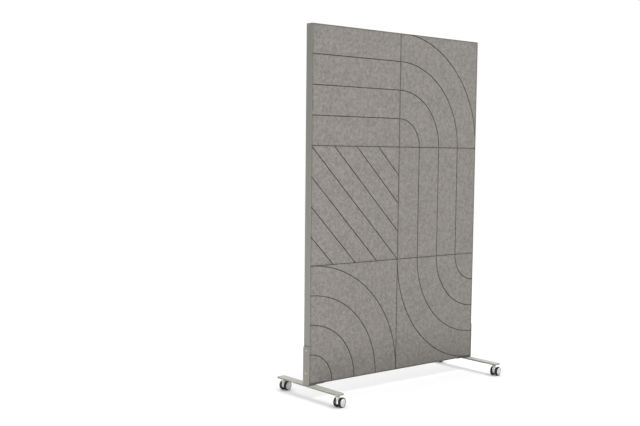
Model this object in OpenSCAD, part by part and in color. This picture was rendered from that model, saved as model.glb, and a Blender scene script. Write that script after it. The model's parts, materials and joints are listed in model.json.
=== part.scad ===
// Rolling partition: a tall grooved felt panel in a painted frame, standing on two flat foot
// bars with a twin-wheel castor under each end.
// Lengths are in millimetres. The origin is on the floor under the middle of the panel, +Z is
// up, +X runs along the panel's width and the grooved face looks towards -Y.

/* [Panel] */
// Width of the panel over its frame
panel_w = 1200; // [900:10:1600]
// Height of the panel over its frame
panel_h = 1800; // [1300:10:2200]
// Depth of the frame, which is the thickness of the panel
panel_d = 45; // [41:1:60]

/* [Frame profile] */
// Wall thickness of the extruded profile
wall = 1.6; // [1.2:0.1:2.2]
// Radius of the profile's outer edges
profile_edge_r = 0.8; // [0.3:0.1:1.2]
// Width of the profile's hollow chamber, measured across the edge of the panel
chamber_w = 30; // [28:1:45]
// Play between the core board and the chambers round it
core_fit = 0.5; // [0.2:0.1:1.5]

/* [Corner keys] */
// Length of each leg of a corner key
key_leg = 90; // [88:1:140]
// Width of a leg
key_w = 18; // [14:0.5:19]
// Play of a key in the chamber
key_fit = 0.3; // [0.1:0.05:0.5]

/* [Felt tiles] */
// Thickness of a felt tile
felt_t = 12; // [9:0.5:13]
// Play between the felt and the lip of the frame
felt_fit = 0.3; // [0.2:0.1:1]
// Gap between neighbouring tiles
tile_gap = 0.2; // [0.1:0.1:1]
// Size of the bevel on the edges that meet another tile
seam_bevel = 1.9; // [0.6:0.1:3]
// Size of the bevel on the lower edge of the lowest tiles
foot_bevel = 4; // [1:0.5:6]
// Height of the lowest groove centres above the panel's underside
grid_rise = 2; // [0:1:20]

/* [Grooves] */
// Distance from one groove to the next
groove_pitch = 150; // [100:5:200]
// Width of a groove at the surface
groove_w = 5; // [2:0.5:8]
// Depth of a groove
groove_depth = 5; // [2:0.5:7]

/* [Brackets] */
// Thickness of the bent bracket plate
plate_t = 4; // [3:0.5:6]
// Height of the bracket's upright above the panel's underside
plate_rise = 194; // [190:1:260]
// Outside radius of the bracket's bend
bend_r = 2; // [1:0.5:2.5]
// Radius of the upright's top corners
plate_corner_r = 8; // [2:1:12]
// Reach of the bracket's flange under the panel, from the outside of the upright
flange_reach = 110; // [105:1:160]
// Width of the flange, which stands back from both faces of the panel
flange_w = 36; // [30:1:41]
// Radius of the flange's inner corners
flange_corner_r = 8; // [2:1:14]
// Height of the lower bracket screw above the panel's underside
lower_screw_z = 57; // [50:1:80]
// Height of the upper bracket screw above the panel's underside
upper_screw_z = 173; // [140:1:180]

/* [Foot bars] */
// Length of a foot bar
bar_l = 490; // [440:5:700]
// Width of a foot bar
bar_w = 50; // [40:1:60]
// Thickness of a foot bar
bar_t = 8; // [7:0.5:12]
// Corner radius of a foot bar
bar_corner_r = 10; // [4:1:19]
// Radius of a foot bar's upper and lower edges
bar_edge_r = 1; // [0.5:0.1:2]
// Distance from the end of a bar to the castor's stem
stem_inset = 25; // [20:1:40]
// Radius of the boss that the castor's stem screws into
boss_r = 10.5; // [8:0.5:14]
// Height of the boss below the bar
boss_h = 4; // [3:0.5:7]

/* [Fasteners] */
// Thread radius of the screws
screw_r = 3; // [2.5:0.25:3.5]
// Clearance of a screw in a plain hole
screw_fit = 0.25; // [0.1:0.05:0.4]
// Clearance of a screw in a tapped hole
thread_fit = 0.05; // [0.02:0.01:0.1]
// Radius of the button heads
button_r = 5.5; // [5:0.25:7]
// Height of the button heads
button_h = 3.2; // [2.5:0.1:4]
// Radius of the countersunk heads
flat_head_r = 6; // [5:0.25:6.5]
// Spacing of the two screws that hold a bar to its bracket
bar_screw_spacing = 28; // [20:1:30]
// Distance from the upright's outside to the nearer screw that holds a flange to the panel
near_screw_x = 64; // [60:1:74]
// Distance from the upright's outside to the farther one
far_screw_x = 92; // [88:1:94]
// Length of a bracket screw
bracket_screw_l = 11; // [10:0.5:11]
// Length of a flange screw
flange_screw_l = 20; // [14:1:22]
// Thickness of a nut strip
strip_t = 5; // [4:0.5:6]
// Height of a nut strip
strip_l = 160; // [145:1:165]
// Width of a nut strip
strip_w = 14; // [10:0.5:15]

/* [Castors] */
// Height from the floor to the underside of the foot bars
castor_h = 65; // [63:1:90]
// Radius of a castor wheel over its tyre
wheel_r = 25; // [22:0.5:26]
// Width of a castor over both wheels
castor_w = 46; // [42:1:52]
// Distance from the swivel axis to the axle
trail = 17; // [15:0.5:20]
// Heading in which the castors trail, measured from +X towards +Y
heading = 12; // [0:1:45]
// Half thickness of the housing between the wheels
housing_y = 7; // [6.5:0.1:7.2]
// Radius of the housing's column round the stem
column_r = 7.5; // [7.3:0.1:7.8]
// Radius of the housing's collar above the wheels
collar_r = 10; // [9.8:0.1:13]
// Radius of the collar's upper edge
collar_round = 2.5; // [1:0.1:2.6]
// Radius of the housing round the axle
housing_r = 12; // [8:0.5:16]
// Gap between the housing's column and a wheel
wheel_gap = 1; // [0.5:0.1:1.5]
// Gap between the end of a wheel's hub and the housing
hub_gap = 0.3; // [0.2:0.05:0.45]

/* [Swivel] */
// Thread radius of the stem
stem_thread_r = 5; // [4:0.25:6]
// Radius of the stem's pin
pin_r = 4; // [3:0.1:4.3]
// Radial running clearance of the pins in their bores
run_fit = 0.05; // [0.02:0.01:0.1]
// Radial gap between pieces that are pressed or moulded together
press_gap = 0.02; // [0.01:0.01:0.05]
// Width across the flats of the stem's hexagon
hex_af = 13; // [11:0.5:14]
// Height of the stem's hexagon
hex_h = 2; // [1.5:0.25:4]
// Outer radius of the swivel bush
bush_r = 6; // [5.5:0.1:6.3]
// Radius of the bush's flange
bush_flange_r = 7; // [6.6:0.1:7.2]
// Height of the bush's flange
bush_flange_t = 1.5; // [1:0.1:2]
// Length of the bush below its flange
bush_l = 20; // [16:0.5:21]
// Gap between the bush's flange and the stem's hexagon
thrust_gap = 0.2; // [0.1:0.05:0.4]

/* [Wheels] */
// Radius of the axle
axle_r = 3; // [2.5:0.1:3.5]
// Depth of the rubber tyre
tyre_t = 4.7; // [3.5:0.1:5.5]
// Radius of the tyre's shoulders
shoulder_r = 3; // [1:0.25:3.5]
// Radius of a wheel's hub
hub_r = 6.5; // [5.5:0.25:9]
// Thickness of a wheel's web
web_t = 2; // [1.5:0.1:3]
// Thickness of a wheel's rim
rim_t = 5; // [3:0.1:6]
// Height to which a wheel's outer face is crowned past its tyre
crown = 1.2; // [0.6:0.1:2]
// Distance from the hub to the inner ring that is cut into a wheel's outer face
hub_ring_gap = 0.5; // [0.2:0.1:2]
// Distance from the rim's edge to the outer ring
rim_ring_gap = 2.3; // [1:0.1:4]
// Width of the two rings
ring_w = 0.8; // [0.4:0.1:1.5]
// Depth of the two rings
ring_depth = 0.6; // [0.3:0.1:1]
// Thickness of the tyre's flank, which covers the rim's inner side
flank_t = 1.2; // [0.8:0.1:2]

/* [Hidden] */
paint = [0.66, 0.66, 0.61];
felt_grey = [0.56, 0.54, 0.52];
core_brown = [0.72, 0.60, 0.44];
steel = [0.72, 0.72, 0.72];
brass = [0.78, 0.66, 0.38];
light_grey = [0.80, 0.80, 0.80];
tyre_black = [0.09, 0.09, 0.09];
// A cut runs this far past the surface that it opens
over = 1;
// Two shapes of one solid run this far into each other
fuse = 0.5;
// Width across the flats of the screws' sockets, and their depth
socket_af = 4;
socket_depth = 2;
// Material left at the end of a blind hole, and the gap between a screw's end and that material
blind_end = 1.5;
screw_end_gap = 0.5;

CORNERS = ["front_left", "front_right", "rear_left", "rear_right"];
COLUMNS = ["left", "right"];
ROWS = ["bottom", "middle", "top"];
CASTOR_PIECES = ["stem", "bush", "housing", "axle", "wheel_a", "tyre_a", "wheel_b", "tyre_b"];

// Heights above the floor
bar_top = castor_h + bar_t;
panel_z = bar_top + plate_t;
panel_top = panel_z + panel_h;
// Depth of the chamber, which is also the thickness of the core board
core_t = panel_d - 2 * felt_t;
bracket_screw_z = [lower_screw_z, upper_screw_z];
flange_screw_x = [near_screw_x, far_screw_x];
// Size of one tile of the groove grid
tile_w = panel_w / 2;
tile_h = panel_h / 3;
// Distance from the panel's middle to the outside of a bracket, and to the middle of a foot bar
plate_x = panel_w / 2 + plate_t;
foot_x = plate_x - bar_w / 2;
stem_y = bar_l / 2 - stem_inset;

// Castor heights, from the bar down
hex_top = castor_h - boss_h;
hex_bottom = hex_top - hex_h;
bush_top = hex_bottom - thrust_gap;
// The bush's flange lies in the housing's top and stands this far above it
flange_proud = 0.3;
housing_top = bush_top - flange_proud;
flange_bottom = bush_top - bush_flange_t;
bush_bottom = flange_bottom - bush_l;
// Open clip on the stem's pin: its thickness, the gaps round it, and its groove
clip_t = 0.8;
clip_gap = 0.2;
clip_fit = 0.1;
clip_top = bush_bottom - clip_gap;
clip_r = bush_r - clip_gap;
clip_groove_depth = 0.6;
clip_groove_r = pin_r - clip_groove_depth;
// Length of the pin below the clip
pin_end = 2;
pin_bottom = clip_top - clip_t - pin_end;
// The column ends this far below the axle, and the cheek starts this far below its top
column_drop = 6;
cheek_drop = 4;
column_bottom = wheel_r - column_drop;
// The collar starts this far above the wheels
collar_gap = 1.5;
collar_bottom = 2 * wheel_r + collar_gap;
// Wheel faces, measured from the middle of the castor
wheel_in = column_r + wheel_gap;
wheel_out = castor_w / 2;
tyre_out = wheel_out - crown;
hub_in = housing_y + hub_gap;
rim_r = wheel_r - tyre_t;
rim_in = wheel_in + flank_t;
// The tyre stands this far past the outside of the rim
tyre_proud = 0.5;
rim_out = tyre_out - tyre_proud;
// Radius of the wheel's outer face, which is part of a sphere
face_rise = wheel_out - rim_out;
face_r = (rim_r * rim_r + face_rise * face_rise) / (2 * face_rise);
face_rings = [hub_r + hub_ring_gap, rim_r - rim_ring_gap - ring_w];
// Distances of the axle's end from the wheel's outside, and of the bore's end from the axle's
axle_inset = 4.5;
bore_end = 0.4;
axle_end = wheel_out - axle_inset;
// Ridge in the wheel's bore that snaps into a groove in the axle
snap_inset = 2;
snap_y = axle_end - snap_inset;
snap_t = 0.8;
snap_depth = 0.5;
snap_fit = 0.1;
// Rib under the tyre, in its groove in the rim
rib_w = 3;
rib_h = 1;
rib_mid = (rim_in + rim_out) / 2;

function castor_x(corner) = (corner == 0 || corner == 2) ? -foot_x : foot_x;
function castor_y(corner) = corner < 2 ? -stem_y : stem_y;

// Point where the line from p touches the circle round c, on the side given by turn
function touch_point(p, c, r, turn) =
  let (d = p - c, a = atan2(d.y, d.x) + turn * acos(r / norm(d)))
  c + r * [cos(a), sin(a)];

// ---------- shared shapes ----------

// Rectangle with four round corners, centred
module round_rect(w, d, r) {
  square([w - 2 * r, d], center = true);
  square([w, d - 2 * r], center = true);
  for (sx = [-1, 1], sy = [-1, 1])
    translate([sx * (w / 2 - r), sy * (d / 2 - r)]) circle(r, $fn = 64);
}

// Slab with round corners whose upper and lower edges are round too, standing on z = 0
module soft_slab(w, d, h, corner, edge) {
  translate([0, 0, h / 2]) {
    rotate([90, 0, 0]) linear_extrude(d - 2 * corner, center = true) round_rect(w, h, edge);
    rotate([90, 0, 90]) linear_extrude(w - 2 * corner, center = true) round_rect(d, h, edge);
    for (sx = [-1, 1], sy = [-1, 1]) translate([sx * (w / 2 - corner), sy * (d / 2 - corner), 0])
      rotate_extrude($fn = 96) intersection() {
        round_rect(2 * corner, h, edge);
        translate([0, -h / 2]) square([corner, h]);
      }
  }
}

// Hexagon socket, running past the head's face
module socket_cut() {
  cylinder(r = socket_af / 2 / cos(30), h = socket_depth + over, $fn = 6);
}

// Screw with a domed head that has a hexagon socket, its shank running down from z = 0
module button_screw(l) {
  dome_r = (button_r * button_r + button_h * button_h) / (2 * button_h);
  difference() {
    union() {
      translate([0, 0, -l]) cylinder(r = screw_r, h = l + fuse, $fn = 48);
      intersection() {
        cylinder(r = button_r, h = button_h, $fn = 64);
        translate([0, 0, button_h - dome_r]) sphere(dome_r, $fn = 128);
      }
    }
    translate([0, 0, button_h - socket_depth]) socket_cut();
  }
}

// Screw with a countersunk head that has a hexagon socket, its shank running up from z = 0
module flat_screw(l) {
  head_h = flat_head_r - screw_r;
  difference() {
    union() {
      cylinder(r = screw_r, h = l, $fn = 48);
      cylinder(r1 = flat_head_r, r2 = screw_r, h = head_h, $fn = 64);
    }
    translate([0, 0, -over]) socket_cut();
  }
}

// Cut for a countersunk screw through a plate of thickness t
module flat_hole(t, gap) {
  head_h = flat_head_r - screw_r;
  translate([0, 0, -over]) cylinder(r = screw_r + gap, h = t + 2 * over, $fn = 48);
  translate([0, 0, -over])
    cylinder(r1 = flat_head_r + gap + over, r2 = screw_r + gap, h = head_h + over, $fn = 64);
}

// ---------- frame ----------

// Section of the profile: a full-depth outer web at x = 0, whose outer edges are round, with a
// chamber on its inner side
module profile_section() {
  difference() {
    union() {
      intersection() {
        translate([0, -panel_d / 2]) square([wall, panel_d]);
        union() {
          translate([profile_edge_r, -panel_d / 2]) square([wall, panel_d]);
          translate([0, profile_edge_r - panel_d / 2]) square([wall, panel_d - 2 * profile_edge_r]);
          for (s = [-1, 1])
            translate([profile_edge_r, s * (panel_d / 2 - profile_edge_r)]) circle(profile_edge_r, $fn = 64);
        }
      }
      translate([0, -core_t / 2]) square([chamber_w, core_t]);
    }
    translate([wall, -core_t / 2 + wall]) square([chamber_w - 2 * wall, core_t - 2 * wall]);
  }
}

// Length of profile along z with both ends mitred, its web at x = 0
module mitred_profile(l) {
  intersection() {
    linear_extrude(l) profile_section();
    rotate([90, 0, 0]) linear_extrude(panel_d + 2 * over, center = true)
      polygon([[-over, -over], [chamber_w + over, chamber_w + over],
               [chamber_w + over, l - chamber_w - over], [-over, l + over]]);
  }
}

// Left stile, with plain holes for the bracket screws
module stile_blank() {
  difference() {
    translate([-panel_w / 2, 0, panel_z]) mitred_profile(panel_h);
    for (z = bracket_screw_z)
      translate([-panel_w / 2 - over, 0, panel_z + z]) rotate([0, 90, 0])
        cylinder(r = screw_r + screw_fit, h = wall + 2 * over, $fn = 48);
  }
}

module stile_left() { color(paint) stile_blank(); }
module stile_right() { color(paint) mirror([1, 0, 0]) stile_blank(); }

module rail_top() {
  color(paint) translate([-panel_w / 2, 0, panel_top]) rotate([0, 90, 0]) mitred_profile(panel_w);
}

module rail_bottom() {
  color(paint) difference() {
    translate([panel_w / 2, 0, panel_z]) rotate([0, -90, 0]) mitred_profile(panel_w);
    for (s = [-1, 1], d = flange_screw_x)
      translate([s * (plate_x - d), 0, panel_z - over])
        cylinder(r = screw_r + screw_fit, h = wall + 2 * over, $fn = 48);
  }
}

// Cast key that joins two profiles at the lower left corner; its upright leg clears the nut strip
// and the ends of the bracket screws
module corner_key() {
  kx = max(wall + strip_t, bracket_screw_l - plate_t) + key_fit;
  kz = wall + key_fit;
  translate([-panel_w / 2, 0, panel_z]) rotate([90, 0, 0])
    linear_extrude(core_t - 2 * wall - 2 * key_fit, center = true)
      polygon([[kx, kz], [key_leg + kx, kz], [key_leg + kx, kz + key_w],
               [kx + key_w, kz + key_w], [kx + key_w, kz + key_leg], [kx, kz + key_leg]]);
}

// The two lower keys are tapped for the flange screws
module corner_keys() {
  color(steel) for (s = [0, 1]) mirror([s, 0, 0]) {
    difference() {
      corner_key();
      for (d = flange_screw_x)
        translate([-plate_x + d, 0, panel_z + wall])
          cylinder(r = screw_r + thread_fit, h = key_fit + key_w - blind_end, $fn = 48);
    }
    translate([0, 0, panel_z + panel_top]) mirror([0, 0, 1]) corner_key();
  }
}

// Tapped strips inside the stiles, which the bracket screws pull against
module nut_strips() {
  mid_z = panel_z + (bracket_screw_z[0] + bracket_screw_z[1]) / 2;
  color(steel) for (s = [0, 1]) mirror([s, 0, 0]) difference() {
    translate([-panel_w / 2 + wall, -strip_w / 2, mid_z - strip_l / 2]) cube([strip_t, strip_w, strip_l]);
    for (z = bracket_screw_z)
      translate([-panel_w / 2 + wall - over, 0, panel_z + z]) rotate([0, 90, 0])
        cylinder(r = screw_r + thread_fit, h = strip_t + 2 * over, $fn = 48);
  }
}

module core_board() {
  inset = chamber_w + core_fit;
  color(core_brown) translate([-panel_w / 2 + inset, -core_t / 2, panel_z + inset])
    cube([panel_w - 2 * inset, core_t, panel_h - 2 * inset]);
}

// ---------- felt tiles ----------

// Edges of the felt field and of its seams, by column and by row
function tile_x(col) = col == 0 ? -panel_w / 2 + wall + felt_fit
                     : col == 2 ? panel_w / 2 - wall - felt_fit : 0;
function tile_z(row) = row == 0 ? panel_z + wall + felt_fit
                     : row == 3 ? panel_top - wall - felt_fit : panel_z + grid_rise + row * tile_h;
function seam_x(col) = col == 1 ? tile_gap / 2 : 0;
function seam_z(row) = (row == 1 || row == 2) ? tile_gap / 2 : 0;

// V-shaped section of a groove in local x and y, open towards +y
module vee(w, d) {
  rise = over / d;
  polygon([[-w / 2 * (1 + rise), over], [w / 2 * (1 + rise), over], [0, -d]]);
}

// Straight V-groove through p at an angle, long enough to cross a tile
module line_cut(p, angle, w, d) {
  reach = tile_w + tile_h;
  translate([p.x, p.y, 0]) rotate([0, 0, angle]) rotate([90, 0, 90])
    linear_extrude(2 * reach, center = true) vee(w, d);
}

// Round V-groove about p
module ring_cut(p, r) {
  translate([p.x, p.y, 0]) rotate_extrude($fn = 240) translate([r, 0]) vee(groove_w, groove_depth);
}

// Grooves of one tile, in tile coordinates with the origin at its lower left corner
module pattern(kind) {
  last_x = floor((tile_w - groove_w) / groove_pitch);
  last_z = floor((tile_h - groove_w) / groove_pitch);
  last_r = floor(min(tile_w, tile_h) / groove_pitch);
  if (kind == "rows") for (k = [1 : last_z])
    line_cut([0, k * groove_pitch], 0, groove_w, groove_depth);
  if (kind == "columns") for (k = [1 : last_x])
    line_cut([k * groove_pitch, 0], 90, groove_w, groove_depth);
  if (kind == "diagonals") for (k = [-last_z : last_x])
    line_cut([k * groove_pitch, tile_h], -45, groove_w, groove_depth);
  if (kind == "low_arcs") for (k = [1 : last_r]) ring_cut([0, 0], k * groove_pitch);
  if (kind == "high_arcs") for (k = [1 : last_r]) ring_cut([tile_w, tile_h], k * groove_pitch);
}

PATTERN = [["low_arcs", "high_arcs"], ["diagonals", "columns"], ["rows", "low_arcs"]];

// Bevels round a tile, cut from its face: along the seams, and wider along the panel's foot
module seam_cuts(col, row) {
  bevel_w = 2 * seam_bevel;
  if (row < 2) line_cut([0, tile_h], 0, bevel_w, seam_bevel);
  if (row > 0) line_cut([0, 0], 0, bevel_w, seam_bevel);
  else line_cut([0, wall + felt_fit - grid_rise], 0, 2 * foot_bevel, foot_bevel);
  line_cut([col == 0 ? tile_w : 0, 0], 90, bevel_w, seam_bevel);
}

// Felt tile for the front; the back tiles are the same blanks turned round, with no grooves
module felt_tile(col, row, kind) {
  x0 = tile_x(col) + seam_x(col);
  x1 = tile_x(col + 1) - seam_x(col + 1);
  z0 = tile_z(row) + seam_z(row);
  z1 = tile_z(row + 1) - seam_z(row + 1);
  color(felt_grey) difference() {
    translate([x0, -panel_d / 2, z0]) cube([x1 - x0, felt_t, z1 - z0]);
    translate([(col - 1) * tile_w, -panel_d / 2, panel_z + grid_rise + row * tile_h])
      rotate([90, 0, 0]) {
        pattern(kind);
        seam_cuts(col, row);
      }
  }
}

module felt_front(col, row) { felt_tile(col, row, PATTERN[row][col]); }
module felt_back(col, row) { mirror([0, 1, 0]) felt_tile(col, row, "plain"); }

// ---------- brackets and foot bars ----------

// Bent bracket of the left side: an upright on the stile and a flange under the panel
module bracket_blank() {
  difference() {
    union() {
      // upright, with round top corners
      translate([-plate_x, 0, 0]) rotate([90, 0, 90]) linear_extrude(plate_t) {
        translate([-panel_d / 2, bar_top + bend_r])
          square([panel_d, panel_z - bar_top + plate_rise - bend_r - plate_corner_r]);
        translate([-panel_d / 2 + plate_corner_r, panel_z + plate_rise - 2 * plate_corner_r])
          square([panel_d - 2 * plate_corner_r, 2 * plate_corner_r]);
        for (s = [-1, 1])
          translate([s * (panel_d / 2 - plate_corner_r), panel_z + plate_rise - plate_corner_r])
            circle(plate_corner_r, $fn = 64);
      }
      // flange, with round inner corners
      translate([-plate_x + bend_r, -flange_w / 2, bar_top])
        cube([flange_reach - bend_r - flange_corner_r, flange_w, plate_t]);
      translate([-plate_x + flange_reach - 2 * flange_corner_r, -flange_w / 2 + flange_corner_r, bar_top])
        cube([2 * flange_corner_r, flange_w - 2 * flange_corner_r, plate_t]);
      for (s = [-1, 1])
        translate([-plate_x + flange_reach - flange_corner_r, s * (flange_w / 2 - flange_corner_r), bar_top])
          cylinder(r = flange_corner_r, h = plate_t, $fn = 64);
      // bend between them
      translate([-plate_x + bend_r, 0, bar_top + bend_r]) rotate([90, 0, 0])
        cylinder(r = bend_r, h = flange_w, center = true, $fn = 64);
    }
    for (z = bracket_screw_z)
      translate([-plate_x - over, 0, panel_z + z]) rotate([0, 90, 0])
        cylinder(r = screw_r + screw_fit, h = plate_t + 2 * over, $fn = 48);
    for (s = [-1, 1])
      translate([-foot_x, s * bar_screw_spacing / 2, bar_top - over])
        cylinder(r = screw_r + thread_fit, h = plate_t + 2 * over, $fn = 48);
    for (d = flange_screw_x)
      translate([-plate_x + d, 0, bar_top]) flat_hole(plate_t, screw_fit);
  }
}

module bracket_left() { color(paint) bracket_blank(); }
module bracket_right() { color(paint) mirror([1, 0, 0]) bracket_blank(); }

module bracket_screws() {
  color(steel) for (s = [0, 1], z = bracket_screw_z) mirror([s, 0, 0])
    translate([-plate_x, 0, panel_z + z]) rotate([0, -90, 0]) button_screw(bracket_screw_l);
}

// Left foot bar with its two castor bosses
module foot_bar_blank() {
  difference() {
    union() {
      translate([-foot_x, 0, castor_h]) soft_slab(bar_w, bar_l, bar_t, bar_corner_r, bar_edge_r);
      for (s = [-1, 1])
        translate([-foot_x, s * stem_y, castor_h - boss_h]) cylinder(r = boss_r, h = boss_h + fuse, $fn = 64);
    }
    for (s = [-1, 1]) {
      translate([-foot_x, s * stem_y, castor_h - boss_h - over])
        cylinder(r = stem_thread_r + thread_fit, h = over + boss_h + bar_t - blind_end, $fn = 64);
      translate([-foot_x, s * bar_screw_spacing / 2, castor_h]) flat_hole(bar_t, screw_fit);
    }
  }
}

module foot_bar_left() { color(paint) foot_bar_blank(); }
module foot_bar_right() { color(paint) mirror([1, 0, 0]) foot_bar_blank(); }

// The screws end just below the upper face of the flange
module bar_screws() {
  color(steel) for (sx = [-1, 1], sy = [-1, 1])
    translate([sx * foot_x, sy * bar_screw_spacing / 2, castor_h]) flat_screw(bar_t + plate_t - screw_end_gap);
}

module flange_screws() {
  color(steel) for (s = [-1, 1], d = flange_screw_x)
    translate([s * (plate_x - d), 0, bar_top]) flat_screw(flange_screw_l);
}

// ---------- castors ----------

// Moves a castor piece, drawn with the stem on z and trailing along +x, to its corner
module at_castor(corner) {
  translate([castor_x(corner), castor_y(corner), 0]) rotate([0, 0, heading]) children();
}

// Threaded stem with a hexagon, and the pin on which the castor turns
module stem() {
  color(steel) difference() {
    union() {
      translate([0, 0, hex_top])
        cylinder(r = stem_thread_r, h = boss_h + bar_t - blind_end - screw_end_gap, $fn = 64);
      translate([0, 0, hex_bottom]) cylinder(r = hex_af / 2 / cos(30), h = hex_h, $fn = 6);
      translate([0, 0, pin_bottom]) cylinder(r = pin_r, h = hex_bottom - pin_bottom, $fn = 64);
    }
    translate([0, 0, clip_top - clip_t / 2]) difference() {
      cylinder(r = pin_r + over, h = clip_t + 2 * clip_fit, center = true, $fn = 64);
      cylinder(r = clip_groove_r, h = clip_t + 2 * clip_fit, center = true, $fn = 64);
    }
  }
}

// Open ring in the stem's groove, which keeps the housing on the pin
module clip() {
  translate([0, 0, clip_top - clip_t]) linear_extrude(clip_t) difference() {
    circle(clip_r, $fn = 64);
    circle(clip_groove_r + clip_fit, $fn = 64);
    translate([0, -clip_groove_r / 2]) square([clip_r + over, clip_groove_r]);
  }
}

module stem_clips() {
  color(steel) for (corner = [0 : 3]) at_castor(corner) clip();
}

// Flanged bush pressed into the housing
module bush() {
  color(brass) difference() {
    union() {
      translate([0, 0, flange_bottom]) cylinder(r = bush_flange_r, h = bush_flange_t, $fn = 64);
      translate([0, 0, bush_bottom]) cylinder(r = bush_r, h = bush_l + fuse, $fn = 64);
    }
    translate([0, 0, bush_bottom - over])
      cylinder(r = pin_r + run_fit, h = bush_l + bush_flange_t + 2 * over, $fn = 64);
  }
}

// Section of the housing's collar, with a round upper edge
module collar_section() {
  h = housing_top - collar_bottom;
  translate([0, collar_bottom]) intersection() {
    square([collar_r, h]);
    union() {
      square([collar_r, h - collar_round]);
      square([collar_r - collar_round, h]);
      translate([collar_r - collar_round, h - collar_round]) circle(collar_round, $fn = 64);
    }
  }
}

// Moulded housing: a column round the stem, a collar on top and a cheek that carries the axle
module housing() {
  axle_at = [trail, wheel_r];
  cheek_top = [0, housing_top - cheek_drop];
  cheek_low = [0, column_bottom];
  color(light_grey) difference() {
    union() {
      translate([0, 0, column_bottom]) cylinder(r = column_r, h = collar_bottom + fuse - column_bottom, $fn = 96);
      rotate_extrude($fn = 96) collar_section();
      rotate([90, 0, 0]) linear_extrude(2 * housing_y, center = true) {
        translate(axle_at) circle(housing_r, $fn = 96);
        polygon([cheek_low, touch_point(cheek_low, axle_at, housing_r, 1), axle_at,
                 touch_point(cheek_top, axle_at, housing_r, -1), cheek_top]);
      }
    }
    translate([0, 0, column_bottom - over])
      cylinder(r = bush_r + press_gap, h = housing_top - column_bottom + 2 * over, $fn = 64);
    translate([0, 0, flange_bottom]) cylinder(r = bush_flange_r + press_gap, h = bush_flange_t, $fn = 64);
    translate([trail, 0, wheel_r]) rotate([90, 0, 0])
      cylinder(r = axle_r + press_gap, h = 2 * housing_y + 2 * over, center = true, $fn = 64);
  }
}

// Pin with a snap groove near each end
module axle() {
  color(steel) translate([trail, 0, wheel_r]) rotate([90, 0, 0]) difference() {
    cylinder(r = axle_r, h = 2 * axle_end, center = true, $fn = 64);
    for (s = [-1, 1]) translate([0, 0, s * snap_y]) difference() {
      cylinder(r = axle_r + over, h = snap_t + 4 * snap_fit, center = true, $fn = 64);
      cylinder(r = axle_r - snap_depth, h = snap_t + 4 * snap_fit, center = true, $fn = 64);
    }
  }
}

// Turns a wheel section, drawn as radius and distance from the castor's middle, round the axle
module on_axle(side) {
  translate([trail, 0, wheel_r]) rotate([side * 90, 0, 0]) rotate_extrude($fn = 128) children();
}

// Everything that lies deeper than d below a wheel's crowned outer face
module below_face(d) {
  translate([0, wheel_out - face_r]) circle(face_r - d, $fn = 360);
}

// Wheel: hub with a blind bore, crowned web with two rings, rim with a groove for the tyre
module wheel_section() {
  difference() {
    intersection() {
      below_face(0);
      union() {
        translate([0, hub_in]) square([hub_r, wheel_out - hub_in]);
        translate([rim_r - rim_t, rim_in]) square([rim_t, wheel_out - rim_in]);
        difference() {
          translate([0, rim_in]) square([rim_r, wheel_out - rim_in]);
          below_face(web_t);
        }
      }
    }
    difference() {
      for (r = face_rings) translate([r, rim_in]) square([ring_w, wheel_out - rim_in + over]);
      below_face(ring_depth);
    }
    difference() {
      translate([-over, hub_in - over])
        square([over + axle_r + run_fit, over + axle_end + bore_end - hub_in]);
      translate([axle_r - snap_depth + snap_fit, snap_y - snap_t / 2]) square([snap_depth + over, snap_t]);
    }
    translate([rim_r - rib_h, rib_mid - rib_w / 2]) square([rib_h + over, rib_w]);
  }
}

// Tyre with round shoulders, a rib that sits in the rim's groove and a flank over the rim's inner side
module tyre_section() {
  seat = rim_r + press_gap;
  tread = wheel_r - seat;
  width = tyre_out - wheel_in;
  intersection() {
    translate([seat, wheel_in]) square([tread, width]);
    union() {
      translate([seat, wheel_in]) square([tread - shoulder_r, width]);
      translate([seat, wheel_in + shoulder_r]) square([tread, width - 2 * shoulder_r]);
      for (y = [wheel_in + shoulder_r, tyre_out - shoulder_r])
        translate([wheel_r - shoulder_r, y]) circle(shoulder_r, $fn = 64);
    }
  }
  translate([rim_r - rim_t, wheel_in]) square([rim_t + press_gap + fuse, flank_t - press_gap]);
  translate([seat - rib_h, rib_mid - rib_w / 2 + press_gap])
    square([rib_h + fuse, rib_w - 2 * press_gap]);
}

module wheel(side) { color(light_grey) on_axle(side) wheel_section(); }
module tyre(side) { color(tyre_black) on_axle(side) tyre_section(); }

// One piece of the castor at a corner, by name. Wheel a is the front one, wheel b the rear one.
module castor_piece(corner, piece) {
  at_castor(corner) {
    if (piece == "stem") stem();
    if (piece == "bush") bush();
    if (piece == "housing") housing();
    if (piece == "axle") axle();
    if (piece == "wheel_a") wheel(1);
    if (piece == "tyre_a") tyre(1);
    if (piece == "wheel_b") wheel(-1);
    if (piece == "tyre_b") tyre(-1);
  }
}

// ---------- the nodes ----------

stile_left();
stile_right();
rail_top();
rail_bottom();
corner_keys();
nut_strips();
core_board();
for (row = [0 : 2], col = [0 : 1]) {
  felt_front(col, row);
  felt_back(col, row);
}
bracket_left();
bracket_right();
bracket_screws();
foot_bar_left();
foot_bar_right();
bar_screws();
flange_screws();
stem_clips();
for (corner = [0 : 3], piece = CASTOR_PIECES)
  castor_piece(corner, piece);
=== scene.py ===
"""Looks of the rolling partition.

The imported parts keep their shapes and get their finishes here. The felt tiles are modelled again,
with grooves whose shoulders are soft. Lengths are in metres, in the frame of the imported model.
"""

import json
import math

import bmesh
import bpy
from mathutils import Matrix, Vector
from mathutils.geometry import delaunay_2d_cdt


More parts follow.
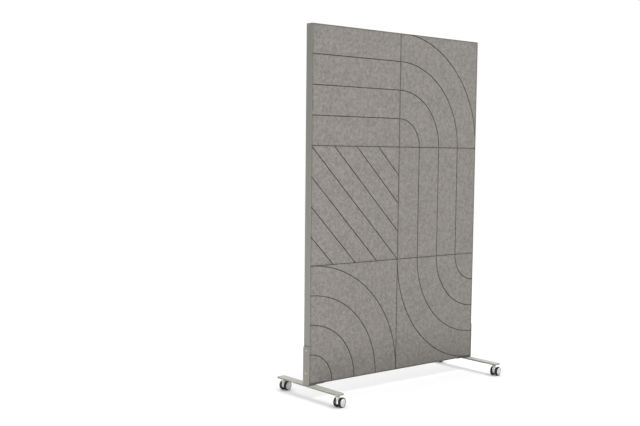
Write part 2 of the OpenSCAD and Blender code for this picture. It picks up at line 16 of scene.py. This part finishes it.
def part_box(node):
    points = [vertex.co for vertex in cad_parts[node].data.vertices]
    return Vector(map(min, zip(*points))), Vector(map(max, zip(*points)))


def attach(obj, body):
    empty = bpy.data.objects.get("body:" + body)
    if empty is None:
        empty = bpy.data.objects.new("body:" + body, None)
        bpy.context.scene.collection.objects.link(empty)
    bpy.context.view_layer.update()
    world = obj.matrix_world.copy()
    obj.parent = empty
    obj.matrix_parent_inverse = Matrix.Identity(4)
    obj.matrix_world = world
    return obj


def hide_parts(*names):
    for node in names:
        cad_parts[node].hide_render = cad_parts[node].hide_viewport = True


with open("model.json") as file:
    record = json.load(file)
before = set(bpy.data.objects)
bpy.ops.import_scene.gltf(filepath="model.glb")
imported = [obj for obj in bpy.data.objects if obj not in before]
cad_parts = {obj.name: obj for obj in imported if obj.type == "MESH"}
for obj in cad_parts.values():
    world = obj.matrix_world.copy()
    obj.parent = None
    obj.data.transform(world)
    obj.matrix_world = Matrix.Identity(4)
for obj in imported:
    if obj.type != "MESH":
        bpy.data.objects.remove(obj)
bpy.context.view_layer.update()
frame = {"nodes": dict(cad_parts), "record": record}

# ---------- sizes ----------

# The photograph's width, in pixels, and what its camera was found to be
IMAGE_WIDTH = 640
FOCAL_PX = 965.8
HORIZON_BELOW_CENTRE_PX = 24.7
CAMERA_AT = (-3.587, -3.7605, 1.2342)
CAMERA_ANGLES_DEG = (85.094, -0.583, -39.147)
# how near and how far it sees
CLIP_START = 0.05
CLIP_END = 200

# The grid of felt tiles, and the pattern that each of the front ones carries
COLUMNS = ("left", "right")
ROWS = ("bottom", "middle", "top")
PATTERN = {
    ("bottom", "left"): "low_arcs",
    ("bottom", "right"): "high_arcs",
    ("middle", "left"): "diagonals",
    ("middle", "right"): "columns",
    ("top", "left"): "rows",
    ("top", "right"): "low_arcs",
}
# height of the lowest groove centres above the panel's underside
GRID_RISE = 0.002

# The grooves: from one to the next, half the width, the depth and the bend of the shoulders
GROOVE_PITCH = 0.150
GROOVE_HALF = 0.0025
GROOVE_DEPTH = 0.005
GROOVE_SHOULDER = 0.0009

# The edges of a tile: width of the bevel, and how much shade is painted into it, where it meets
# another tile, the frame, and the open foot of the panel
SEAM = (0.0019, 1.0)
RIM = (0.0010, 1.0)
FOOT = (0.0026, 0.10)
# how softly a bevel starts
EDGE_SHOULDER = 0.0006
# how deep and from how far in the face rounds off towards every edge
EDGE_CROWN = 0.0005
CROWN_REACH = 0.014
# how far up the felt has shade painted in where its foot rests on a bracket's flange
CONTACT_SHADE_REACH = 0.009

# The mesh of a tile: distances from a groove's centre line and from the tile's edge at which it
# has a line of points, because its height changes there
GROOVE_LINES = (0.0, 0.0010, 0.0016, 0.0019, 0.0022, 0.0025, 0.0028, 0.0031, 0.0034, 0.0044)
EDGE_LINES = (
    0.0, 0.0004, 0.0008, 0.0012, 0.0016, 0.0020, 0.0025,
    0.0035, 0.0040, 0.0046, 0.0070, 0.0100, 0.0140,
)
# spacing of the points on a straight line, and their number on a whole ring
STEP = 0.024
RING_STEPS = 176
# a shorter step than this runs along an edge, and closer points than these are one point
LEAST_STEP = 1e-12
SAME_POINT = 1e-9
MERGE_POINTS = 1e-7
# a mesh edge with a sharper bend stays crisp
CRISP_FROM_DEG = 50

# The light on the object from the white world
AMBIENT = 0.50

# The soft boxes: name, place, the point that they face, width and height, watts
SOFT_BOXES = (
    ("overhead", (0.9, -3.85, 14.0), (0, 0, 0.9), (7.0, 8.8), 1800),
    ("front", (-0.95, -2.8, 1.0), (-0.2, 0, 1.0), (1.0, 1.4), 13),
    ("side", (-2.0, -0.3, 0.30), (-0.6, 0, 0.2), (1.6, 0.5), 7.0),
    ("back", (1.4, 6.3, 10.5), (0, 0, 0.6), (5.2, 5.2), 780),
)

# The gridded lamps on the castors: corner, azimuth in degrees, watts
CASTOR_FILLS = (
    ("front_left", 212, 0.018),
    ("rear_left", 225, 0.036),
    ("front_right", 212, 0.020),
)
# how far off they stand, how steeply they look down, their size and how far they spread
FILL_DISTANCE = 1.6
FILL_SLOPE = 0.14
FILL_SIZE = (0.24, 0.12)
FILL_SPREAD_DEG = 8

# The floor: half its width, and the distances at which its shadow starts and ends to fade
FLOOR_HALF = 60.0
FADE_START = 2.4
FADE_END = 6.0
# its grey where it is seen, the share of the shadow that shows, and the reach of the painted
# contact shadow round what touches it
SEEN_TONE = 0.8
SHADOW_SHARE = 0.45
TOUCH_REACH = 0.05
# the darker greys of the light that it throws back, under the panel, where it paints shade, and
# away from it, and the distances from the panel's plane at which the one starts and ends to turn
# into the other
UNDER_TONE = 0.08
OPEN_TONE = 0.26
OPEN_START = 0.02
OPEN_END = 0.6

# The finishes: the range in which most of a noise's values lie
NOISE_BAND = (0.3, 0.7)
# how far off what closes in the felt and the paint darkens them with painted shade, and how often
# that is tried
FELT_SHADE_REACH = 0.30
PAINT_SHADE_REACH = 0.010
SHADE_SAMPLES = 8
# colours that lie over or in the main ones
LIGHT_FIBRE = (0.52, 0.50, 0.47)
DARK_FIBRE = (0.12, 0.115, 0.11)
# the painted shade in the felt's grooves, seams and edges, and above the flanges
FELT_PAINTED_SHADE = (0.045, 0.041, 0.037)
SMUDGED_PAINT = (0.36, 0.35, 0.32)
FLOOR_DUST = (0.060, 0.058, 0.055)

# ---------- camera, light and floor ----------


def make_camera():
    """The photograph's camera, as it was found to stand."""
    data = bpy.data.cameras.new("photo_camera")
    data.lens = FOCAL_PX / IMAGE_WIDTH * data.sensor_width
    data.shift_y = HORIZON_BELOW_CENTRE_PX / IMAGE_WIDTH
    data.clip_start = CLIP_START
    data.clip_end = CLIP_END
    camera = bpy.data.objects.new("photo_camera", data)
    camera.location = CAMERA_AT
    camera.rotation_euler = [math.radians(a) for a in CAMERA_ANGLES_DEG]
    bpy.context.scene.collection.objects.link(camera)
    bpy.context.scene.camera = camera


def area_light(name, at, target, size, power, spread=180):
    """A soft box, or with a smaller spread in degrees one behind a grid."""
    data = bpy.data.lights.new(name, "AREA")
    data.shape = "RECTANGLE"
    data.size, data.size_y = size
    data.energy = power
    data.spread = math.radians(spread)
    lamp = bpy.data.objects.new(name, data)
    lamp.visible_camera = False
    lamp.location = at
    lamp.rotation_euler = (Vector(target) - Vector(at)).to_track_quat("-Z", "Y").to_euler()
    bpy.context.scene.collection.objects.link(lamp)


def fill_castor(corner, azimuth_deg, power):
    """A small gridded lamp, low on the camera's side, for the shade between a castor's wheels."""
    low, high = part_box(f"{corner}_castor_housing")
    middle = (Vector(low) + Vector(high)) / 2
    azimuth = math.radians(azimuth_deg)
    away = Vector((math.cos(azimuth), math.sin(azimuth), FILL_SLOPE)) * FILL_DISTANCE
    area_light(f"fill_{corner}", middle + away, middle, FILL_SIZE, power, FILL_SPREAD_DEG)


def seen_directly(tree):
    """A value that is 1 for rays from the camera and in mirrors and glass, and 0 for the rest."""
    path = tree.nodes.new("ShaderNodeLightPath")
    rays = [path.outputs[n] for n in ("Is Camera Ray", "Is Glossy Ray", "Is Transmission Ray")]
    total = rays[0]
    for ray in rays[1:]:
        both = tree.nodes.new("ShaderNodeMath")
        both.operation = "MAXIMUM"
        tree.links.new(total, both.inputs[0])
        tree.links.new(ray, both.inputs[1])
        total = both.outputs[0]
    return total


def make_world():
    """White where it is seen, and a plain soft light on the object."""
    world = bpy.data.worlds.new("studio")
    world.use_nodes = True
    bpy.context.scene.world = world
    tree = world.node_tree
    tree.nodes.clear()
    shown = tree.nodes.new("ShaderNodeBackground")
    light = tree.nodes.new("ShaderNodeBackground")
    light.inputs["Strength"].default_value = AMBIENT
    for background in (shown, light):
        background.inputs["Color"].default_value = (1, 1, 1, 1)
    mix = tree.nodes.new("ShaderNodeMixShader")
    out = tree.nodes.new("ShaderNodeOutputWorld")
    tree.links.new(seen_directly(tree), mix.inputs[0])
    tree.links.new(light.outputs[0], mix.inputs[1])
    tree.links.new(shown.outputs[0], mix.inputs[2])
    tree.links.new(mix.outputs[0], out.inputs["Surface"])


def make_floor():
    """Pale floor with the object's soft shadow, which fades into the white backdrop far out.

    Light that reaches the object from the floor comes off darker tones than the one that is seen,
    with shade painted in by a darker tone still under the panel.
    The shadow is light, with a deeper contact shadow painted close to what touches the floor.
    """
    mesh = bpy.data.meshes.new("floor")
    corners = [(-1, -1), (1, -1), (1, 1), (-1, 1)]
    mesh.from_pydata([(FLOOR_HALF * x, FLOOR_HALF * y, 0) for x, y in corners], [], [(0, 1, 2, 3)])
    floor = bpy.data.objects.new("floor", mesh)
    bpy.context.scene.collection.objects.link(floor)

    material = bpy.data.materials.new("floor")
    material.use_nodes = True
    tree = material.node_tree
    tree.nodes.clear()
    coords = tree.nodes.new("ShaderNodeTexCoord")
    radius = tree.nodes.new("ShaderNodeVectorMath")
    radius.operation = "LENGTH"
    tree.links.new(coords.outputs["Object"], radius.inputs[0])
    axes = tree.nodes.new("ShaderNodeSeparateXYZ")
    tree.links.new(coords.outputs["Object"], axes.inputs[0])
    depth = tree.nodes.new("ShaderNodeMath")
    depth.operation = "ABSOLUTE"
    tree.links.new(axes.outputs["Y"], depth.inputs[0])

    def eased(distance, start, end, low, high):
        """A value that changes smoothly from low to high as a distance goes from start to end."""
        change = tree.nodes.new("ShaderNodeMapRange")
        change.interpolation_type = "SMOOTHSTEP"
        tree.links.new(distance.outputs["Value"], change.inputs["Value"])
        ends = {"From Min": start, "From Max": end, "To Min": low, "To Max": high}
        for socket, number in ends.items():
            change.inputs[socket].default_value = number
        return change.outputs["Result"]

    def diffuse(tone):
        """A matt grey, from a number or another node's output."""
        shader = tree.nodes.new("ShaderNodeBsdfDiffuse")
        if isinstance(tone, bpy.types.NodeSocket):
            tree.links.new(tone, shader.inputs["Color"])
        else:
            shader.inputs["Color"].default_value = (tone, tone, tone, 1)
        return shader

    def mixed(share, first, second):
        """The second shader by its share, over the first."""
        mix = tree.nodes.new("ShaderNodeMixShader")
        tree.links.new(share, mix.inputs[0])
        tree.links.new(first.outputs[0], mix.inputs[1])
        tree.links.new(second.outputs[0], mix.inputs[2])
        return mix

    white = tree.nodes.new("ShaderNodeEmission")
    # painted shadow: the white glow dims where something touches the floor
    painted_touch_shadow = tree.nodes.new("ShaderNodeAmbientOcclusion")
    painted_touch_shadow.inputs["Distance"].default_value = TOUCH_REACH
    tree.links.new(painted_touch_shadow.outputs["AO"], white.inputs["Strength"])
    whiteness = eased(radius, FADE_START, FADE_END, 1 - SHADOW_SHARE, 1)
    seen = mixed(whiteness, diffuse(SEEN_TONE), white)
    # painted shade: the floor throws back less light under the panel
    lit = diffuse(eased(depth, OPEN_START, OPEN_END, UNDER_TONE, OPEN_TONE))
    out = tree.nodes.new("ShaderNodeOutputMaterial")
    tree.links.new(mixed(seen_directly(tree), lit, seen).outputs[0], out.inputs["Surface"])
    mesh.materials.append(material)


# ---------- finishes ----------


class Finish:
    """A principled material, with short calls for the nodes that the finishes here share."""

    def __init__(self, name, colour, roughness, metallic=0.0, specular=0.5):
        self.material = bpy.data.materials.new(name)
        self.material.use_nodes = True
        self.material.diffuse_color = (*colour, 1)
        self.tree = self.material.node_tree
        self.shader = self.tree.nodes["Principled BSDF"]
        self.colour = colour
        self.set("Base Color", (*colour, 1))
        self.set("Roughness", roughness)
        self.set("Metallic", metallic)
        self.set("Specular IOR Level", specular)
        self.place = self.tree.nodes.new("ShaderNodeTexCoord").outputs["Object"]

    def set(self, socket, value):
        """Sets a constant, or links a node's output, on the shader's own socket."""
        if isinstance(value, bpy.types.NodeSocket):
            self.tree.links.new(value, self.shader.inputs[socket])
        else:
            self.shader.inputs[socket].default_value = value

    def node(self, kind, links=(), **values):
        """Adds a node. links is a list of (input, output socket); values are its properties."""
        made = self.tree.nodes.new(kind)
        for name, value in values.items():
            setattr(made, name, value)
        for socket, source in links:
            if isinstance(source, bpy.types.NodeSocket):
                self.tree.links.new(source, made.inputs[socket])
            else:
                made.inputs[socket].default_value = source
        return made

    def stretched(self, scale, turn=(0, 0, 0)):
        """Object coordinates, turned and scaled differently along each axis."""
        turn = [math.radians(a) for a in turn]
        links = [("Vector", self.place), ("Rotation", turn), ("Scale", scale)]
        return self.node("ShaderNodeMapping", links).outputs[0]

    def noise(self, per_metre, detail=3.0, roughness=0.55, place=None, distortion=0.0):
        """Cloudy values round 0.5, with this many clouds to the metre, or to a place's unit."""
        place = place or self.place
        links = [("Vector", place), ("Scale", per_metre), ("Detail", detail)]
        links += [("Roughness", roughness), ("Distortion", distortion)]
        return self.node("ShaderNodeTexNoise", links).outputs[0]

    def spread(self, value, low, high, to_low=0.0, to_high=1.0):
        """Maps a value from low..high to another range, clamped."""
        links = [("Value", value), ("From Min", low), ("From Max", high)]
        links += [("To Min", to_low), ("To Max", to_high)]
        return self.node("ShaderNodeMapRange", links).outputs[0]

    def combine(self, a, b, how="ADD"):
        """The sum of two values, or what another operation makes of them."""
        return self.node("ShaderNodeMath", [(0, a), (1, b)], operation=how).outputs[0]

    def mix(self, share, a, b, how="MIX"):
        """Lays a share of colour b over colour a, each a socket or three numbers."""
        a, b = [c if isinstance(c, bpy.types.NodeSocket) else (*c, 1) for c in (a, b)]
        # inputs 6 and 7 and output 2 are the node's colours
        links = [(0, share), (6, a), (7, b)]
        return self.node("ShaderNodeMix", links, data_type="RGBA", blend_type=how).outputs[2]

    def shade(self, low, high, value, colour=None):
        """The colour times a grey between low and high, by a value from 0 to 1."""
        grey = self.spread(value, 0, 1, low, high)
        tone = self.node("ShaderNodeCombineColor", [(0, grey), (1, grey), (2, grey)]).outputs[0]
        return self.mix(1.0, colour or self.colour, tone, "MULTIPLY")

    def openness(self, reach):
        """1 on an open face, and less in a corner or crevice, by what lies within reach."""
        links = [("Distance", reach)]
        node = self.node("ShaderNodeAmbientOcclusion", links, samples=SHADE_SAMPLES)
        return node.outputs["AO"]

    def bump(self, height, distance, strength=1.0, below=None):
        """A normal tilted by a height in units of distance, over the one below if there is one."""
        links = [("Height", height), ("Distance", distance), ("Strength", strength)]
        if below:
            links.append(("Normal", below))
        return self.node("ShaderNodeBump", links).outputs[0]


def felt_finish():
    """Pressed heather felt: light and dark fibres on a mottled warm grey, with painted shade in its
    grooves and hollows.
    """
    f = Finish("felt", (0.314, 0.291, 0.265), roughness=0.95, specular=0.15)
    f.set("Sheen Weight", 0.25)
    f.set("Sheen Roughness", 0.6)
    patches = f.noise(9, detail=3)
    clouds = f.noise(70, detail=3, roughness=0.6)
    tufts = f.noise(260, detail=2, roughness=0.6)
    # fibres lie every way in the sheet, so two crossing sets of warped streaks are laid together
    upright = f.stretched((1500, 500, 420), turn=(0, 24, 0))
    upright_fibres = f.noise(1.0, detail=2, roughness=0.5, place=upright, distortion=0.6)
    level = f.stretched((420, 500, 1500), turn=(0, 17, 0))
    level_fibres = f.noise(1.0, detail=2, roughness=0.5, place=level, distortion=0.6)
    fibres = f.combine(upright_fibres, level_fibres, "MAXIMUM")
    dark_fibres = f.spread(f.noise(820, detail=1, roughness=0.5), 0.56, 0.70)
    colour = f.shade(0.95, 1.05, patches)
    colour = f.shade(0.77, 1.23, f.spread(clouds, *NOISE_BAND), colour)
    colour = f.shade(0.76, 1.24, f.spread(tufts, *NOISE_BAND), colour)
    light_share = f.spread(fibres, 0.56, 0.74, to_low=0, to_high=0.45)
    colour = f.mix(light_share, colour, LIGHT_FIBRE)
    colour = f.mix(f.combine(dark_fibres, 0.55, "MULTIPLY"), colour, DARK_FIBRE)
    # painted shade: the grooves, seams, edges and the foot above the flanges are darkened
    cut = f.node("ShaderNodeAttribute", attribute_name="cut").outputs["Fac"]
    colour = f.mix(f.combine(cut, 0.90, "MULTIPLY"), colour, FELT_PAINTED_SHADE)
    # painted shade: the felt is darkened where the floor, the feet and its own grooves close it in
    colour = f.shade(0.50, 1.0, f.spread(f.openness(FELT_SHADE_REACH), 0.3, 1.0), colour)
    f.set("Base Color", colour)
    coarse = f.bump(clouds, distance=0.0006, strength=0.6)
    nap = f.combine(fibres, tufts)
    f.set("Normal", f.bump(nap, distance=0.0005, strength=0.7, below=coarse))
    f.set("Roughness", f.spread(tufts, 0.2, 0.8, to_low=0.86, to_high=1.0))
    return f.material


def paint_finish():
    """Satin powder coat with a fine orange-peel texture, a few faint smudges and shade painted into
    its crevices.
    """
    f = Finish("paint", (0.360, 0.359, 0.315), roughness=0.5, specular=0.45)
    drift = f.noise(3.5, detail=3)
    grain = f.noise(1400, detail=2, roughness=0.6)
    peel = f.noise(420, detail=2, roughness=0.5)
    smudge = f.spread(f.noise(14, detail=4, roughness=0.6), 0.48, 0.72)
    colour = f.shade(0.965, 1.035, drift)
    colour = f.shade(0.94, 1.06, f.spread(grain, *NOISE_BAND), colour)
    colour = f.mix(f.combine(smudge, 0.12, "MULTIPLY"), colour, SMUDGED_PAINT)
    # painted shade: a thin dark line where two pieces meet, and in other crevices
    colour = f.shade(0.35, 1.0, f.spread(f.openness(PAINT_SHADE_REACH), 0.65, 0.97), colour)
    f.set("Base Color", colour)
    grain_rough = f.spread(grain, *NOISE_BAND, to_low=-0.05, to_high=0.06)
    smudge_rough = f.spread(smudge, 0, 1, to_low=0.48, to_high=0.60)
    f.set("Roughness", f.combine(grain_rough, smudge_rough))
    coarse = f.bump(peel, distance=0.00025, strength=0.35)
    f.set("Normal", f.bump(grain, distance=0.00012, strength=0.5, below=coarse))
    return f.material


def moulded_finish(name, colour, roughness):
    """Moulded plastic: a fine spark-eroded texture, slight flow marks and light scuffs."""
    f = Finish(name, colour, roughness, specular=0.5)
    flow = f.noise(60, detail=2)
    grain = f.noise(2600, detail=1, roughness=0.5)
    streaks = f.stretched((90, 900, 900), turn=(12, 40, 25))
    scuffs = f.spread(f.noise(1.0, detail=3, roughness=0.6, place=streaks), 0.60, 0.72)
    scuffed_colour = [0.62 * c for c in colour]
    scuffed_roughness = min(1.0, roughness + 0.22)
    clean_colour = f.shade(0.96, 1.03, flow)
    f.set("Base Color", f.mix(f.combine(scuffs, 0.25, "MULTIPLY"), clean_colour, scuffed_colour))
    f.set("Roughness", f.spread(scuffs, 0, 1, to_low=roughness, to_high=scuffed_roughness))
    coarse = f.bump(scuffs, distance=0.00004, strength=0.3)
    f.set("Normal", f.bump(grain, distance=0.00006, strength=0.5, below=coarse))
    return f.material


def tyre_finish():
    """Dull soft tread with a film of floor dust."""
    f = Finish("tyre", (0.014, 0.014, 0.015), roughness=0.66, specular=0.3)
    dust = f.spread(f.noise(160, detail=4, roughness=0.65), 0.46, 0.74)
    grain = f.noise(2200, detail=2, roughness=0.6)
    f.set("Base Color", f.mix(f.combine(dust, 0.25, "MULTIPLY"), f.colour, FLOOR_DUST))
    f.set("Roughness", f.spread(dust, 0, 1, to_low=0.58, to_high=0.84))
    f.set("Normal", f.bump(grain, distance=0.00010, strength=0.5))
    return f.material


def metal_finish(name, colour, roughness, turn=(0, 0, 0)):
    """Machined or plated metal: fine tool lines and a cloudy tone."""
    f = Finish(name, colour, roughness, metallic=1.0)
    lines = f.noise(1.0, detail=2, roughness=0.5, place=f.stretched((40, 40, 5200), turn))
    cloud = f.noise(90, detail=3, roughness=0.6)
    f.set("Base Color", f.shade(0.86, 1.06, cloud))
    smooth, dull = roughness - 0.04, roughness + 0.08
    lines_rough = f.spread(lines, *NOISE_BAND, to_low=-0.05, to_high=0.08)
    cloud_rough = f.spread(cloud, *NOISE_BAND, to_low=smooth, to_high=dull)
    f.set("Roughness", f.combine(lines_rough, cloud_rough))
    f.set("Normal", f.bump(lines, distance=0.00005, strength=0.4))
    return f.material


def board_finish():
    """Particle board: chips of several browns pressed together."""
    f = Finish("core", (0.50, 0.36, 0.22), roughness=0.85, specular=0.3)
    place = f.stretched((160, 320, 520))
    chips = f.node("ShaderNodeTexVoronoi", [("Vector", place), ("Scale", 1.0)]).outputs["Color"]
    tone = f.node("ShaderNodeSeparateColor", [(0, chips)]).outputs[0]
    f.set("Base Color", f.shade(0.6, 1.25, tone))
    f.set("Normal", f.bump(tone, distance=0.0002, strength=0.5))
    return f.material


def make_finishes():
    """One finish for each material slot of the record."""
    return {
        "felt": felt_finish(),
        "paint": paint_finish(),
        "core": board_finish(),
        "cast_alloy": metal_finish("cast_alloy", (0.55, 0.55, 0.56), 0.55, turn=(0, 30, 20)),
        "steel": metal_finish("steel", (0.54, 0.53, 0.49), 0.38),
        "bush": metal_finish("bush", (0.70, 0.52, 0.24), 0.30),
        "castor_plastic": moulded_finish("castor_plastic", (0.90, 0.90, 0.885), 0.50),
        "wheel_plastic": moulded_finish("wheel_plastic", (0.86, 0.87, 0.88), 0.42),
        "tyre": tyre_finish(),
    }


# ---------- felt tiles ----------


class Tile:
    """One felt tile: x runs right and y up on its visible face, in metres from its grid corner."""

    def __init__(self, side, row, column):
        self.node = f"felt_{side}_{row}_{column}"
        self.kind = PATTERN[row, column] if side == "front" else "plain"
        low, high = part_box(self.node)
        panel_low = Vector((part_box("stile_left")[0].x, 0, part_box("rail_bottom")[0].z))
        panel_high = Vector((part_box("stile_right")[1].x, 0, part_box("rail_top")[1].z))
        self.width = (panel_high.x - panel_low.x) / len(COLUMNS)
        self.height = (panel_high.z - panel_low.z) / len(ROWS)
        self.corner = Vector((
            panel_low.x + COLUMNS.index(column) * self.width,
            low.y,
            panel_low.z + GRID_RISE + ROWS.index(row) * self.height,
        ))
        self.thickness = high.y - low.y
        self.mirrored = side == "back"
        # the stretches of the foot that lie on a bracket's flange, where shade is painted on the
        # felt
        self.flanges = []
        if row == ROWS[0]:
            for bracket in ("bracket_left", "bracket_right"):
                self.flanges.append([end.x - self.corner.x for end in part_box(bracket)])
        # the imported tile's own outline
        self.low = (low.x - self.corner.x, low.z - self.corner.z)
        self.high = (high.x - self.corner.x, high.z - self.corner.z)
        # bevels of the left, lower, right and upper edges, each with how much shade is painted into
        # it
        self.bevels = (
            RIM if column == COLUMNS[0] else SEAM,
            FOOT if row == ROWS[0] else SEAM,
            RIM if column == COLUMNS[-1] else SEAM,
            RIM if row == ROWS[-1] else SEAM,
        )

    def grooves(self):
        """(kind, centre or point, radius or direction) of each groove."""
        count = round(self.width / GROOVE_PITCH)
        places = [k * GROOVE_PITCH for k in range(1, count)]
        if self.kind == "rows":
            return [("line", (0, y), (1, 0)) for y in places]
        if self.kind == "columns":
            return [("line", (x, 0), (0, 1)) for x in places]
        if self.kind == "diagonals":
            slope = math.sqrt(0.5)
            starts = [(k * GROOVE_PITCH, self.height) for k in range(1 - count, count)]
            return [("line", start, (slope, -slope)) for start in starts]
        if self.kind == "low_arcs":
            return [("ring", (0, 0), r) for r in places + [self.width]]
        if self.kind == "high_arcs":
            return [("ring", (self.width, self.height), r) for r in places + [self.width]]
        return []

    def edge_drops(self, point):
        """How far each edge draws the face back at a point, and how much shade it paints there."""
        distances = (
            point[0] - self.low[0],
            point[1] - self.low[1],
            self.high[0] - point[0],
            self.high[1] - point[1],
        )
        drops = [edge_drop(max(0.0, d), bevel) for d, (bevel, _) in zip(distances, self.bevels)]
        return [(drop, dark * drop / bevel) for drop, (bevel, dark) in zip(drops, self.bevels)]

    def painted_contact_shade(self, point):
        """How much shade is painted on the felt at a point above the flange under its foot, from 0
        to 1.
        """
        if not any(start <= point[0] <= end for start, end in self.flanges):
            return 0.0
        return max(0.0, 1 - (point[1] - self.low[1]) / CONTACT_SHADE_REACH)


def off_groove(groove, point):
    """Distance of a point from a groove's centre line."""
    kind, at, shape = groove
    dx, dy = point[0] - at[0], point[1] - at[1]
    if kind == "ring":
        return abs(math.hypot(dx, dy) - shape)
    return abs(dx * shape[1] - dy * shape[0])


def beside_groove(groove, offset, tile):
    """Points along a groove, at an offset to one side, past both ends of the tile."""
    kind, at, shape = groove
    if kind == "ring":
        radius = shape + offset
        angles = [2 * math.pi * k / RING_STEPS for k in range(RING_STEPS + 1)]
        return [(at[0] + radius * math.cos(a), at[1] + radius * math.sin(a)) for a in angles]
    reach = math.hypot(tile.width, tile.height)
    steps = round(2 * reach / STEP)
    start = (at[0] - shape[1] * offset, at[1] + shape[0] * offset)
    along = [reach * (2 * k / steps - 1) for k in range(steps + 1)]
    return [(start[0] + t * shape[0], start[1] + t * shape[1]) for t in along]


def soft_ramp(x, r):
    """x where it is above r, 0 where it is below -r, and a smooth bend between them."""
    if x <= -r:
        return 0.0
    if x >= r:
        return x
    return (x + r) ** 2 / (4 * r)


def groove_drop(distance):
    """Depth of a groove at a distance from its centre line: a V with soft shoulders."""
    return soft_ramp(1 - distance / GROOVE_HALF, GROOVE_SHOULDER / GROOVE_HALF) * GROOVE_DEPTH


def edge_drop(distance, bevel):
    """How far the face falls away at a distance from a tile's edge with a bevel of that width."""
    crown = max(0.0, 1 - distance / CROWN_REACH)
    bevelled = soft_ramp(1 - distance / bevel, EDGE_SHOULDER / bevel) * bevel
    return bevelled + EDGE_CROWN * crown * crown


def clipped(points, tile):
    """The runs of a line's points that lie in the tile, each carried on to the tile's edge."""
    runs, run = [], []
    for a, b in zip(points, points[1:]):
        # the parts of the step from a to b at which it enters and leaves the tile
        enters, leaves = 0.0, 1.0
        for i in (0, 1):
            step = b[i] - a[i]
            if abs(step) < LEAST_STEP:
                if not tile.low[i] <= a[i] <= tile.high[i]:
                    enters, leaves = 1.0, 0.0
                continue
            near, far = sorted(((tile.low[i] - a[i]) / step, (tile.high[i] - a[i]) / step))
            enters, leaves = max(enters, near), min(leaves, far)
        if enters >= leaves:
            continue
        ends = [(a[0] + t * (b[0] - a[0]), a[1] + t * (b[1] - a[1])) for t in (enters, leaves)]
        if not run or math.dist(run[-1], ends[0]) > SAME_POINT:
            run = [ends[0]]
            runs.append(run)
        run.append(ends[1])
    return runs


def face_mesh(tile):
    """Flat points and triangles with edges where the tile's height changes, and its grooves."""
    points, edges = [], []

    def add_line(line, closed=False):
        first = len(points)
        points.extend(Vector(p) for p in line)
        edges.extend((first + k, first + k + 1) for k in range(len(line) - 1))
        if closed:
            edges.append((first + len(line) - 1, first))

    for inset in EDGE_LINES:
        (x0, y0), (x1, y1) = [v + inset for v in tile.low], [v - inset for v in tile.high]
        nx, ny = round((x1 - x0) / STEP), round((y1 - y0) / STEP)
        xs = [x0 + (x1 - x0) * k / nx for k in range(nx)]
        ys = [y0 + (y1 - y0) * k / ny for k in range(ny)]
        ring = [(x, y0) for x in xs] + [(x1, y) for y in ys]
        ring += [(x1 + x0 - x, y1) for x in xs] + [(x0, y1 + y0 - y) for y in ys]
        add_line(ring, closed=True)
    grooves = tile.grooves()
    for groove in grooves:
        for offset in sorted({s * d for d in GROOVE_LINES for s in (-1, 1)}):
            for run in clipped(beside_groove(groove, offset, tile), tile):
                add_line(run)
    flat, _, triangles = delaunay_2d_cdt(points, edges, [], 0, MERGE_POINTS, False)[:3]
    return flat, triangles, grooves


def make_tile(side, row, column, finish):
    """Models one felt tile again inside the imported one, and puts it in that one's place."""
    tile = Tile(side, row, column)
    flat, triangles, grooves = face_mesh(tile)
    mesh = bpy.data.meshes.new(tile.node)
    bm = bmesh.new()
    cut = bm.verts.layers.float.new("cut")
    outward = 1 if tile.mirrored else -1
    face_y = tile.corner.y + (tile.thickness if tile.mirrored else 0)
    for p in flat:
        groove = max([groove_drop(off_groove(g, p)) for g in grooves], default=0.0)
        at_edges = tile.edge_drops(p)
        drop = max(groove, *(d for d, _ in at_edges))
        vertex = bm.verts.new((tile.corner.x + p[0], face_y - outward * drop, tile.corner.z + p[1]))
        # painted shade, from the grooves, the flanges under the foot and the bevelled edges
        shades = [groove / GROOVE_DEPTH, tile.painted_contact_shade(p)] + [dark for _, dark in at_edges]
        vertex[cut] = min(1.0, max(shades))
    bm.verts.ensure_lookup_table()
    for t in triangles:
        bm.faces.new([bm.verts[k] for k in (t if not tile.mirrored else reversed(t))])
    # walls and a flat back, point by point round the rim, so that the mesh is the same each run
    middle = tile.corner + Vector((tile.width, 0, tile.height)) / 2
    rim = sorted(
        (v for v in bm.verts if v.is_boundary),
        key=lambda v: math.atan2(v.co.z - middle.z, v.co.x - middle.x),
    )
    back_y = face_y - outward * tile.thickness
    back = [bm.verts.new((v.co.x, back_y, v.co.z)) for v in rim]
    for k in range(len(rim)):
        bm.faces.new((rim[k - 1], rim[k], back[k], back[k - 1]))
    bm.faces.new(back)
    bmesh.ops.recalc_face_normals(bm, faces=bm.faces)
    bm.to_mesh(mesh)
    bm.free()
    mesh.shade_smooth()
    mesh.set_sharp_from_angle(angle=math.radians(CRISP_FROM_DEG))
    mesh.materials.append(finish)
    piece = bpy.data.objects.new("soft_" + tile.node, mesh)
    bpy.context.scene.collection.objects.link(piece)
    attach(piece, "partition")
    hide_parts(tile.node)


# ---------- the scene ----------

bpy.context.scene.view_settings.view_transform = "Standard"
make_camera()
make_world()
make_floor()
for soft_box in SOFT_BOXES:
    area_light(*soft_box)
for fill in CASTOR_FILLS:
    fill_castor(*fill)

finishes = make_finishes()
slots = {row["node"]: row["material_slot"] for row in frame["record"]["subparts"]}
for name, obj in frame["nodes"].items():
    obj.data.materials.clear()
    obj.data.materials.append(finishes[slots[name]])
for side in ("front", "back"):
    for row in ROWS:
        for column in COLUMNS:
            make_tile(side, row, column, finishes["felt"])
